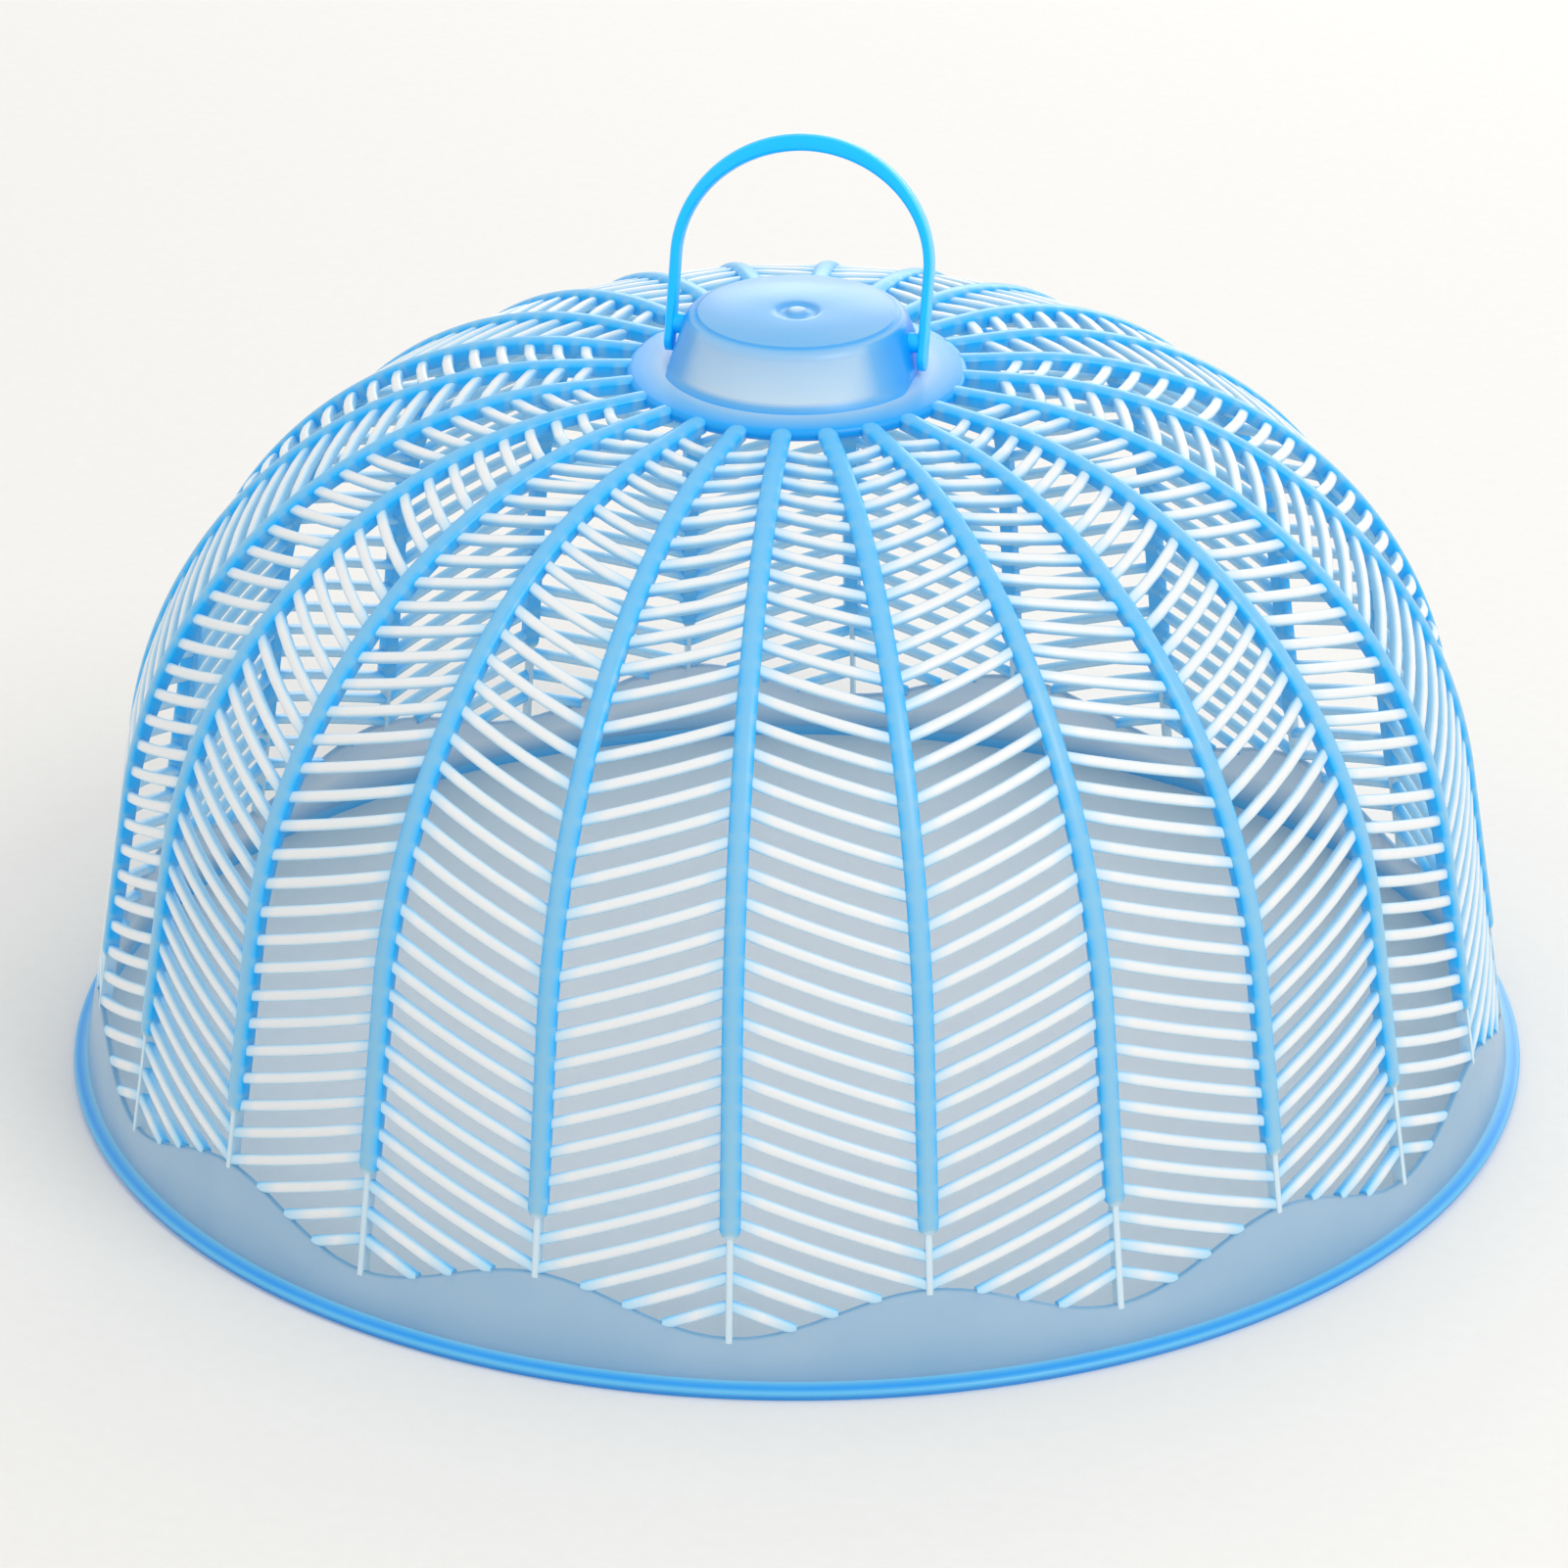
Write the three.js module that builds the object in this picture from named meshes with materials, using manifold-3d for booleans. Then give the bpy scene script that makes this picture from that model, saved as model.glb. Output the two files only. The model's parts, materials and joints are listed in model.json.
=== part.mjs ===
// A food cover in one clear blue plastic: a round dome of herringbone slats between ribs, on a
// scalloped rim band with a lip, with a hollow hub on its crown and a bail handle that swings on it.
// Millimetres, +Z up. The origin is at the middle of the lip's underside, the bail's axis runs along X.

import * as THREE from 'three';
import { mergeVertices } from 'three/addons/utils/BufferGeometryUtils.js';
import Module from 'manifold-3d';

const { degToRad } = THREE.MathUtils;

// Clearances
const JOIN_GAP = 0.3; // between stretches of the moulding that lie against each other
const SWING_GAP = 0.5; // between the bail's legs and the hub's flat sides
const BORE_GAP = 0.3; // round a stud in its hole
const CUT_OVERRUN = 2; // how far a cutting shape runs past what it cuts

// Lip at the foot of the cover
const LIP_RADIUS = 150;
const LIP_REACH = 2.5; // from the wall out to the lip's edge
const LIP_HEIGHT = 2.8;
const LIP_FOOT_WIDTH = 3.4;
const LIP_EDGE_HEIGHT = 1.4;
const LIP_ROUNDING = 0.6;

// Dome outside: a tapered wall, a round shoulder and a nearly flat crown
const WALL_DRAFT = degToRad(9);
const SHOULDER_RADIUS = 97;
const CROWN_RADIUS = 770;
const DOME_HEIGHT = 149.5; // of the crown's curve where it meets the middle axis

// Rim band with a scalloped top edge
const BAND_WALL = 1.6;
const BAND_VALLEY_HEIGHT = 11;
const BAND_PEAK_HEIGHT = 19.8;

// Ribs: every other one is the spine of a petal, and the rest divide the petals
const PETAL_COUNT = 12;
const RIB_WIDTH = 4;
const RIB_EDGE_RISE = 0.3; // of the bead's two edges over the dome's surface
const RIB_CREST_RISE = 0.8;
const RIB_END_HEIGHT = 30.7; // the bead stops between two slats, as near to this height as it can
const RIB_END_TAPER = 1.6;
const RIB_FOOT_WIDTH = 1.3; // of the thin line that runs on down to the band
const RIB_FOOT_RISE = 0.1;
const RIB_TOP_RISE = 0.6; // of the crest where it meets the crown ring

// Slats
const SLAT_PITCH = 5.66; // along the dome's outline
const SLAT_HEIGHT = 2.2;
const SLAT_DEPTH = 2.2;
const SLAT_SINK = 0.2; // of a slat's face below the dome's surface
const SLAT_SLOPE = degToRad(20.5); // below the level, from the spine down to the dividing rib
const SLAT_BACKING = 0.2; // how much deeper a rib is than the slats that it carries
const FIRST_SLAT_RISE = 6.4; // of the lowest slat over the band's valley

// Crown ring, which the ribs run up to and the hub stands on
const RING_MARGIN = 8.4; // from the hub's foot out to the ring's edge
const RING_SEAT = 4.4; // from the hub's foot in to the ring's hole
const RING_THICKNESS = 2.6;
const RING_EDGE_RISE = 0.6; // of its outer edge over the dome's surface
const RING_SLOPE_RISE = 0.6; // of its inner edge over its outer edge
const RING_ROUNDING = 0.7;

// Hub: a hollow round cap with two flat sides
const HUB_FOOT_RADIUS = 25.6;
const HUB_TOP_RADIUS = 21;
const HUB_HEIGHT = 12.1;
const HUB_SHOULDER = 1.6;
const HUB_WALL = 1.7;
const HUB_FLAT_DEPTH = 1.3; // how far the flat sides cut in at the foot
const DIMPLE_RADIUS = 4.4;
const DIMPLE_DEPTH = 0.5;
const DIMPLE_BEVEL = 0.5;
const NUB_RADIUS = 2.2;
const NUB_RISE = 0.8; // of the nub over the dimple's floor
const NUB_TAPER = 0.5;

// Bail handle with a stud on each leg
const PIVOT_HEIGHT_SHARE = 0.5; // of the hub's height
const BAIL_HEIGHT = 39.4; // from the pivot to the outside of the arch
const LEG_HEIGHT = 14; // from the pivot to where the arch begins
const LEG_THICKNESS = 1.7;
const GRIP_THICKNESS = 3.4; // of the strap at the top of the arch
const BAIL_WIDTH = 4.4;
const BAIL_BEVEL = 0.5;
const BAIL_LEAN = degToRad(20); // how far it stands back from upright
const LEG_END_RADIUS = 3.2;
const LEG_END_PROUD = 0.2;
const STUD_RADIUS = 2.4;
const STUD_HEAD_LIP = 0.6;
const STUD_HEAD_LENGTH = 4.2;
const STUD_HEAD_TAPER = 1.4;

// How finely curves are cut
const RIM_STEPS = 72;
const SCALLOP_HALF_STEPS = 3;
const RING_STEPS = 36;
const HUB_STEPS = 28;
const SLATS_PER_BEND = 2; // between the places where a rib bends
const ARCH_STEPS = 16;
const STUD_STEPS = 10;
const LEG_END_STEPS = 12;
const HALVINGS = 40; // of the interval in which a crossing is looked for

const RING_RADIUS = HUB_FOOT_RADIUS + RING_MARGIN;
const PETAL_ANGLE = 2 * Math.PI / PETAL_COUNT;
const SECTOR_ANGLE = PETAL_ANGLE / 2;
const PHASE = SECTOR_ANGLE / 2; // the bail's axis lies halfway between two ribs

const CLEAR_PALE = new THREE.Color(0xcfe7f8);
const CLEAR_BLUE = new THREE.Color(0x58bdf0);
const BRIGHT_BLUE = new THREE.Color(0x17a8f5);
const GREY_BLUE = new THREE.Color(0x9dbcd6);

function plastic(color, roughness) {
  return new THREE.MeshStandardMaterial({ color, roughness, metalness: 0, transparent: true, opacity: 0.9 });
}

// Halves an interval over which a rising test turns from false to true, and returns the turning point.
function turningPoint(isPast, low, high) {
  let from = low;
  let to = high;
  for (let i = 0; i < HALVINGS; i += 1) {
    const middle = (from + to) / 2;
    if (isPast(middle)) {
      to = middle;
    } else {
      from = middle;
    }
  }
  return from;
}

// The dome's outline, worked out from its wall, shoulder and crown so that they run into each other
// smoothly. Its stations are lengths along the outline, from the foot of the wall upwards.
function domeOutline() {
  const footRadius = LIP_RADIUS - LIP_REACH;
  const crownCentre = DOME_HEIGHT - CROWN_RADIUS;
  const up = new THREE.Vector2(-Math.sin(WALL_DRAFT), Math.cos(WALL_DRAFT));
  const out = new THREE.Vector2(Math.cos(WALL_DRAFT), Math.sin(WALL_DRAFT));
  const start = new THREE.Vector2(footRadius, 0).addScaledVector(out, -SHOULDER_RADIUS);
  const fromCrown = start.clone().sub(new THREE.Vector2(0, crownCentre));
  const along = fromCrown.dot(up);
  const reach = CROWN_RADIUS - SHOULDER_RADIUS;
  const wallLength = Math.sqrt(along ** 2 - fromCrown.lengthSq() + reach ** 2) - along;
  const shoulderCentre = start.clone().addScaledVector(up, wallLength);
  const crownAngle = Math.atan2(shoulderCentre.y - crownCentre, shoulderCentre.x);
  const shoulderLength = SHOULDER_RADIUS * (crownAngle - WALL_DRAFT);
  const crownLength = CROWN_RADIUS * (Math.PI / 2 - crownAngle);

  // Radius and height at a station, and the direction that the surface faces there.
  function at(station) {
    if (station < wallLength) {
      const radius = footRadius - station * Math.sin(WALL_DRAFT);
      return { radius, height: station * Math.cos(WALL_DRAFT), facing: WALL_DRAFT };
    }
    if (station < wallLength + shoulderLength) {
      const facing = WALL_DRAFT + (station - wallLength) / SHOULDER_RADIUS;
      const radius = shoulderCentre.x + SHOULDER_RADIUS * Math.cos(facing);
      return { radius, height: shoulderCentre.y + SHOULDER_RADIUS * Math.sin(facing), facing };
    }
    const facing = crownAngle + (station - wallLength - shoulderLength) / CROWN_RADIUS;
    const height = crownCentre + CROWN_RADIUS * Math.sin(facing);
    return { radius: CROWN_RADIUS * Math.cos(facing), height, facing };
  }

  const length = wallLength + shoulderLength + crownLength;
  const atHeight = (height) => turningPoint((station) => at(station).height > height, 0, length);
  const atRadius = (radius) => turningPoint((station) => at(station).radius < radius, 0, length);
  return { at, atHeight, atRadius, wallLength };
}

const dome = domeOutline();

// A point on or near the dome, at a turn from the X axis: `rise` stands out from the surface and
// `climb` runs up along it.
function domePoint(station, turn, rise = 0, climb = 0) {
  const { radius, height, facing } = dome.at(station);
  const outward = radius + rise * Math.cos(facing) - climb * Math.sin(facing);
  const upward = height + rise * Math.sin(facing) + climb * Math.cos(facing);
  return new THREE.Vector3(outward * Math.cos(turn), outward * Math.sin(turn), upward);
}

function geometryOf(points, index) {
  const geometry = new THREE.BufferGeometry();
  const positions = points.flatMap((point) => point.toArray());
  geometry.setAttribute('position', new THREE.Float32BufferAttribute(positions, 3));
  geometry.setIndex(index);
  geometry.computeVertexNormals();
  return geometry;
}

// Skins a row of matching rings, each one running anticlockwise about the way that the row goes.
function skin(rings, closed) {
  const count = rings[0].length;
  const index = [];
  const spans = closed ? rings.length : rings.length - 1;
  for (let i = 0; i < spans; i += 1) {
    const here = i * count;
    const next = ((i + 1) % rings.length) * count;
    for (let j = 0; j < count; j += 1) {
      const k = (j + 1) % count;
      index.push(here + j, here + k, next + k, here + j, next + k, next + j);
    }
  }
  if (!closed) {
    const end = spans * count;
    for (let j = 1; j < count - 1; j += 1) {
      index.push(0, j + 1, j, end, end + j, end + j + 1);
    }
  }
  return geometryOf(rings.flat(), index);
}

// Turns a closed outline of radius and height, drawn anticlockwise, about the Z axis.
function revolve(outline, steps) {
  const points = outline.map(([radius, height]) => new THREE.Vector2(radius, height));
  return new THREE.LatheGeometry(points, steps).rotateX(Math.PI / 2);
}

const wasm = await Module();
wasm.setup();

function toSolid(source) {
  const bare = source.clone();
  bare.deleteAttribute('normal');
  bare.deleteAttribute('uv');
  const geometry = mergeVertices(bare);
  const kept = [];
  const corners = geometry.index.array;
  for (let i = 0; i < corners.length; i += 3) {
    const [a, b, c] = corners.slice(i, i + 3);
    if (a !== b && b !== c && c !== a) {
      kept.push(a, b, c);
    }
  }
  const vertProperties = new Float32Array(geometry.attributes.position.array);
  const mesh = new wasm.Mesh({ numProp: 3, vertProperties, triVerts: new Uint32Array(kept) });
  return new wasm.Manifold(mesh);
}

function toGeometry(solid) {
  const mesh = solid.getMesh();
  const geometry = new THREE.BufferGeometry();
  geometry.setAttribute('position', new THREE.Float32BufferAttribute(mesh.vertProperties, 3));
  geometry.setIndex(Array.from(mesh.triVerts));
  geometry.computeVertexNormals();
  return geometry;
}

// A round bar along X, from one place to another, whose radius may change on the way.
function barAlongX(from, to, radiusFrom, radiusTo, steps) {
  const bar = new THREE.CylinderGeometry(radiusTo, radiusFrom, Math.abs(to - from), steps);
  bar.rotateZ(from < to ? -Math.PI / 2 : Math.PI / 2);
  return toSolid(bar.translate((from + to) / 2, 0, 0));
}

// Height of the band's top edge at a turn from a petal's spine. It runs straight between its steps.
function bandEdge(turn) {
  const step = SECTOR_ANGLE / SCALLOP_HALF_STEPS;
  const place = Math.min(Math.abs(turn) / step, SCALLOP_HALF_STEPS);
  const before = Math.floor(place);
  const edgeAt = (number) => {
    const share = (1 - Math.cos(Math.PI * number / SCALLOP_HALF_STEPS)) / 2;
    return BAND_VALLEY_HEIGHT + (BAND_PEAK_HEIGHT - BAND_VALLEY_HEIGHT) * share;
  };
  return THREE.MathUtils.lerp(edgeAt(before), edgeAt(before + 1), place - before);
}

function lipGeometry() {
  const wallInside = LIP_RADIUS - LIP_REACH - BAND_WALL;
  const outerFoot = wallInside + LIP_FOOT_WIDTH;
  const outline = [
    [wallInside, 0],
    [outerFoot, 0],
    [LIP_RADIUS, LIP_EDGE_HEIGHT],
    [LIP_RADIUS - LIP_ROUNDING, LIP_HEIGHT],
    [wallInside - LIP_HEIGHT * Math.tan(WALL_DRAFT), LIP_HEIGHT],
    [wallInside, 0],
  ];
  return revolve(outline, RIM_STEPS);
}

function bandGeometry() {
  const rings = [];
  const perPetal = 2 * SCALLOP_HALF_STEPS;
  const foot = LIP_HEIGHT + JOIN_GAP;
  for (let i = 0; i < PETAL_COUNT * perPetal; i += 1) {
    const turn = i * PETAL_ANGLE / perPetal;
    const fromSpine = (i % perPetal) * PETAL_ANGLE / perPetal;
    const edge = bandEdge(Math.min(fromSpine, PETAL_ANGLE - fromSpine));
    const footRadius = dome.at(dome.atHeight(foot)).radius;
    const edgeRadius = dome.at(dome.atHeight(edge)).radius;
    const corners = [
      [footRadius - BAND_WALL, foot],
      [edgeRadius - BAND_WALL, edge],
      [edgeRadius, edge],
      [footRadius, foot],
    ];
    rings.push(corners.map(([radius, height]) => (
      new THREE.Vector3(radius * Math.cos(turn), radius * Math.sin(turn), height))));
  }
  return skin(rings, true);
}

const SPINE_SINK = RIB_WIDTH / 2 * Math.tan(SECTOR_ANGLE / 2); // of a straight slat inside its spine
const RIB_DEPTH = SLAT_SINK + SLAT_DEPTH + SPINE_SINK + SLAT_BACKING;
const SPINE_FALL = RIB_WIDTH / 2 * Math.tan(SLAT_SLOPE); // of a slat inside its spine

// Station where the ribs meet the crown ring.
const ribTop = turningPoint((station) => {
  const { radius, facing } = dome.at(station);
  return radius - RIB_DEPTH * Math.cos(facing) < RING_RADIUS + JOIN_GAP;
}, 0, dome.atRadius(0));

// Stations of the slats on a spine, and of the gap under the slat with a number.
const firstSlat = dome.atHeight(BAND_VALLEY_HEIGHT + FIRST_SLAT_RISE);
const slatCount = Math.floor((ribTop - SLAT_HEIGHT - firstSlat) / SLAT_PITCH) + 1;
const slatStation = (number) => firstSlat + number * SLAT_PITCH;
const gapUnder = (number) => slatStation(number) - SLAT_PITCH / 2 - SPINE_FALL;
const nearestGap = (station) => Math.round((station - gapUnder(0)) / SLAT_PITCH);

const beadGap = nearestGap(dome.atHeight(RIB_END_HEIGHT));
const taperFoot = gapUnder(beadGap) - RIB_END_TAPER / 2;
const taperTop = gapUnder(beadGap) + RIB_END_TAPER / 2;

// Half the width that a rib takes up at a station.
function ribReach(station) {
  return (station < taperFoot ? RIB_FOOT_WIDTH : RIB_WIDTH) / 2;
}

// The rows of a rib that ends on the band's edge: a thin foot, a short taper, and the bead, which
// bends only in the gaps between slats, up to the crown ring.
function ribRows(edge) {
  const foot = dome.atHeight(edge + JOIN_GAP + RIB_DEPTH * Math.sin(WALL_DRAFT));
  const rows = [
    { station: foot, width: RIB_FOOT_WIDTH, crest: RIB_FOOT_RISE },
    { station: taperFoot, width: RIB_FOOT_WIDTH, crest: RIB_FOOT_RISE },
    { station: taperTop, width: RIB_WIDTH, crest: RIB_CREST_RISE },
  ];
  const firstBend = Math.max(nearestGap(dome.wallLength), beadGap + 1);
  for (let number = firstBend; number < slatCount; number += SLATS_PER_BEND) {
    rows.push({ station: gapUnder(number), width: RIB_WIDTH, crest: RIB_CREST_RISE });
  }
  rows.push({ station: ribTop, width: RIB_WIDTH, crest: RIB_TOP_RISE });
  return rows;
}

// The five corners of a rib's section: back, edge, crest, edge and back again.
function ribSection({ station, width, crest }) {
  const edgeRise = crest * RIB_EDGE_RISE / RIB_CREST_RISE;
  const corners = [
    [-RIB_DEPTH, -width / 2],
    [edgeRise, -width / 2],
    [crest, 0],
    [edgeRise, width / 2],
    [-RIB_DEPTH, width / 2],
  ];
  return corners.map(([rise, aside]) => (
    domePoint(station, 0, rise).add(new THREE.Vector3(0, aside, 0))));
}

// One slat from the spine down to the dividing rib on one side, its face square to the dome halfway
// along. Each of its three long edges starts on the spine's side and stops a gap short of the
// dividing rib, or of the band's edge where it meets that first.
function slatEnds(station, side) {
  const fall = dome.at(station).radius * SECTOR_ANGLE * Math.tan(SLAT_SLOPE);
  const farStation = Math.max(station - fall, 0);
  const from = domePoint(station, 0);
  const along = domePoint(farStation, SECTOR_ANGLE * side).sub(from);
  const middle = [(station + farStation) / 2, SECTOR_ANGLE * side / 2];
  const offsetBy = (rise, climb) => domePoint(...middle, rise, climb).sub(domePoint(...middle));
  const corners = [
    offsetBy(-SLAT_SINK, SLAT_HEIGHT / 2),
    offsetBy(-SLAT_SINK, -SLAT_HEIGHT / 2),
    offsetBy(-SLAT_SINK - SLAT_DEPTH, 0),
  ];
  const near = [];
  const far = [];
  for (const corner of corners) {
    const pointAt = (share) => from.clone().addScaledVector(along, share).add(corner);
    const end = turningPoint((share) => {
      const point = pointAt(share);
      const turn = Math.abs(Math.atan2(point.y, point.x));
      const toDivider = Math.hypot(point.x, point.y) * Math.sin(SECTOR_ANGLE - turn);
      const level = THREE.MathUtils.lerp(station, farStation, share) + SLAT_HEIGHT;
      return toDivider < ribReach(level) + JOIN_GAP || point.z < bandEdge(turn) + JOIN_GAP;
    }, 0, 1);
    near.push(pointAt((ribReach(station) * side - corner.y) / along.y));
    far.push(pointAt(end));
  }
  return side > 0 ? [near, far] : [near.reverse(), far.reverse()];
}

// A petal: a spine with its slats on both sides, all one skin. The spine's sides are flat, so each
// stretch of a side is filled in as a flat shape with a hole at the root of every slat.
function petalGeometry() {
  const points = [];
  const index = [];
  const place = (point) => points.push(point) - 1;
  const rows = ribRows(BAND_VALLEY_HEIGHT);
  const sections = rows.map((row) => ribSection(row).map(place));

  function fillQuad(a, b, c, d) {
    index.push(a, b, c, a, c, d);
  }

  // Places a slat's corners, adds its three long faces and its far end, and returns its root.
  function addSlat(number, side) {
    const [near, far] = slatEnds(slatStation(number), side).map((ring) => ring.map(place));
    near.forEach((corner, i) => {
      const next = (i + 1) % near.length;
      fillQuad(corner, near[next], far[next], far[i]);
    });
    index.push(...far);
    return near;
  }

  // Fills one stretch of a side, between two sections, around the roots of its slats.
  function fillSide(lower, upper, side, roots) {
    const flat = (i) => new THREE.Vector2(points[i].x, points[i].z);
    const [back, edge] = side > 0 ? [4, 3] : [0, 1];
    const outline = [lower[back], lower[edge], upper[edge], upper[back]];
    const holes = roots.map((root) => (
      THREE.ShapeUtils.isClockWise(root.map(flat)) ? root : [...root].reverse()));
    const used = [outline, ...holes].flat();
    const faces = THREE.ShapeUtils.triangulateShape(outline.map(flat), holes.map((hole) => hole.map(flat)));
    for (const [a, b, c] of faces) {
      const corners = side > 0 ? [used[a], used[c], used[b]] : [used[a], used[b], used[c]];
      index.push(...corners);
    }
  }

  for (let i = 0; i + 1 < rows.length; i += 1) {
    const [lower, upper] = [sections[i], sections[i + 1]];
    for (const [j, k] of [[1, 2], [2, 3], [4, 0]]) {
      fillQuad(lower[j], lower[k], upper[k], upper[j]);
    }
    const numbers = Array.from({ length: slatCount }, (_, number) => number).filter((number) => {
      const root = slatStation(number) - SPINE_FALL;
      return root > rows[i].station && root < rows[i + 1].station;
    });
    for (const side of [1, -1]) {
      fillSide(lower, upper, side, numbers.map((number) => addSlat(number, side)));
    }
  }
  const [foot, top] = [sections[0], sections[rows.length - 1]];
  for (let j = 1; j + 1 < foot.length; j += 1) {
    index.push(foot[0], foot[j + 1], foot[j], top[0], top[j], top[j + 1]);
  }
  return geometryOf(points, index);
}

const ringEdgeHeight = dome.at(dome.atRadius(RING_RADIUS)).height + RING_EDGE_RISE;
const ringTopHeight = ringEdgeHeight + RING_SLOPE_RISE;
const hubFoot = ringTopHeight + JOIN_GAP;

function ringGeometry() {
  const holeRadius = HUB_FOOT_RADIUS - RING_SEAT;
  const outline = [
    [holeRadius, ringTopHeight - RING_THICKNESS],
    [RING_RADIUS - RING_ROUNDING, ringEdgeHeight - RING_THICKNESS],
    [RING_RADIUS, ringEdgeHeight - RING_ROUNDING],
    [RING_RADIUS - RING_ROUNDING, ringEdgeHeight],
    [holeRadius, ringTopHeight],
    [holeRadius, ringTopHeight - RING_THICKNESS],
  ];
  return revolve(outline, RING_STEPS);
}

const flatPlane = HUB_FOOT_RADIUS - HUB_FLAT_DEPTH;
const pivotHeight = hubFoot + HUB_HEIGHT * PIVOT_HEIGHT_SHARE;
const hollowTopRadius = HUB_TOP_RADIUS + HUB_SHOULDER - HUB_WALL;
const hollowHeight = HUB_HEIGHT - HUB_WALL;

// A slab that keeps what lies between two upright planes across X.
function slab(halfWidth) {
  const size = 2 * (HUB_FOOT_RADIUS + CUT_OVERRUN);
  const height = HUB_HEIGHT + 2 * CUT_OVERRUN + 2 * NUB_RISE;
  const box = new THREE.BoxGeometry(2 * halfWidth, size, height);
  return toSolid(box.translate(0, 0, hubFoot + HUB_HEIGHT / 2));
}

// The hub's shell: an outer round cap less an inner one, both cut flat at the bail's legs.
function hubGeometry() {
  const top = hubFoot + HUB_HEIGHT;
  const dimpleFloor = top - DIMPLE_DEPTH;
  const nubTop = dimpleFloor + NUB_RISE;
  const wallTop = top - HUB_SHOULDER;
  const shoulderRadius = HUB_TOP_RADIUS + HUB_SHOULDER;
  const turned = HUB_SHOULDER * Math.SQRT1_2;
  const outside = revolve([
    [0, hubFoot],
    [HUB_FOOT_RADIUS, hubFoot],
    [shoulderRadius, wallTop],
    [HUB_TOP_RADIUS + turned, wallTop + turned],
    [HUB_TOP_RADIUS, top],
    [DIMPLE_RADIUS, top],
    [DIMPLE_RADIUS - DIMPLE_BEVEL, dimpleFloor],
    [NUB_RADIUS, dimpleFloor],
    [NUB_RADIUS - NUB_TAPER, nubTop],
    [0, nubTop],
  ], HUB_STEPS);
  const inside = revolve([
    [0, hubFoot - CUT_OVERRUN],
    [HUB_FOOT_RADIUS - HUB_WALL, hubFoot - CUT_OVERRUN],
    [HUB_FOOT_RADIUS - HUB_WALL, hubFoot],
    [hollowTopRadius, hubFoot + hollowHeight],
    [0, hubFoot + hollowHeight],
  ], HUB_STEPS);
  const hollow = toSolid(inside).intersect(slab(flatPlane - HUB_WALL));
  const reach = HUB_FOOT_RADIUS + CUT_OVERRUN;
  const bore = barAlongX(-reach, reach, STUD_RADIUS + BORE_GAP, STUD_RADIUS + BORE_GAP, STUD_STEPS);
  const shell = toSolid(outside).intersect(slab(flatPlane)).subtract(hollow);
  return toGeometry(shell.subtract(bore.translate(0, 0, pivotHeight)));
}

// How far out a round head on the bail's axis can reach inside the hub's hollow.
function headSeat(headRadius) {
  const share = (pivotHeight + headRadius - hubFoot) / hollowHeight;
  const radius = THREE.MathUtils.lerp(HUB_FOOT_RADIUS - HUB_WALL, hollowTopRadius, share);
  return Math.min(flatPlane - HUB_WALL, Math.sqrt(radius ** 2 - headRadius ** 2));
}

// The bail about its own pivot: a strap bent into an arch on two legs and thickened to a grip at the
// top, with a round end, a stud and the stud's snap head on each leg.
function bailGeometry() {
  const inner = flatPlane + SWING_GAP;
  const outer = inner + LEG_THICKNESS;
  const outerRise = BAIL_HEIGHT - LEG_HEIGHT;
  const innerRise = outerRise - GRIP_THICKNESS;
  const outline = new THREE.Shape();
  outline.moveTo(outer, 0);
  outline.lineTo(outer, LEG_HEIGHT);
  outline.absellipse(0, LEG_HEIGHT, outer, outerRise, 0, Math.PI, false);
  outline.lineTo(-outer, 0);
  outline.lineTo(-inner, 0);
  outline.lineTo(-inner, LEG_HEIGHT);
  outline.absellipse(0, LEG_HEIGHT, inner, innerRise, Math.PI, 0, true);
  outline.lineTo(inner, 0);
  const strap = new THREE.ExtrudeGeometry(outline, {
    depth: BAIL_WIDTH - 2 * BAIL_BEVEL,
    curveSegments: ARCH_STEPS,
    bevelEnabled: true,
    bevelSegments: 1,
    bevelSize: BAIL_BEVEL,
    bevelThickness: BAIL_BEVEL,
    bevelOffset: -BAIL_BEVEL,
  });
  strap.rotateX(Math.PI / 2).translate(0, BAIL_WIDTH / 2 - BAIL_BEVEL, 0);
  let bail = toSolid(strap);
  const headRadius = STUD_RADIUS + STUD_HEAD_LIP;
  const headStart = headSeat(headRadius) - SWING_GAP;
  const headEnd = headStart - STUD_HEAD_LENGTH;
  const taperStart = headEnd + STUD_HEAD_TAPER;
  const middle = inner + LEG_THICKNESS / 2;
  const endCap = outer + LEG_END_PROUD;
  for (const side of [1, -1]) {
    const bars = [
      barAlongX(side * inner, side * endCap, LEG_END_RADIUS, LEG_END_RADIUS, LEG_END_STEPS),
      barAlongX(side * middle, side * taperStart, STUD_RADIUS, STUD_RADIUS, STUD_STEPS),
      barAlongX(side * headStart, side * taperStart, headRadius, headRadius, STUD_STEPS),
      barAlongX(side * taperStart, side * headEnd, headRadius, STUD_RADIUS - STUD_HEAD_LIP, STUD_STEPS),
    ];
    for (const bar of bars) {
      bail = bail.add(bar);
    }
  }
  return toGeometry(bail);
}

const cover = new THREE.Group();

function addMesh(name, geometry, material) {
  const mesh = new THREE.Mesh(geometry, material);
  mesh.name = name;
  cover.add(mesh);
  return mesh;
}

addMesh('rim_lip', lipGeometry(), plastic(BRIGHT_BLUE, 0.3));
addMesh('rim_band', bandGeometry(), plastic(GREY_BLUE, 0.25)).rotation.z = PHASE;

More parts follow.
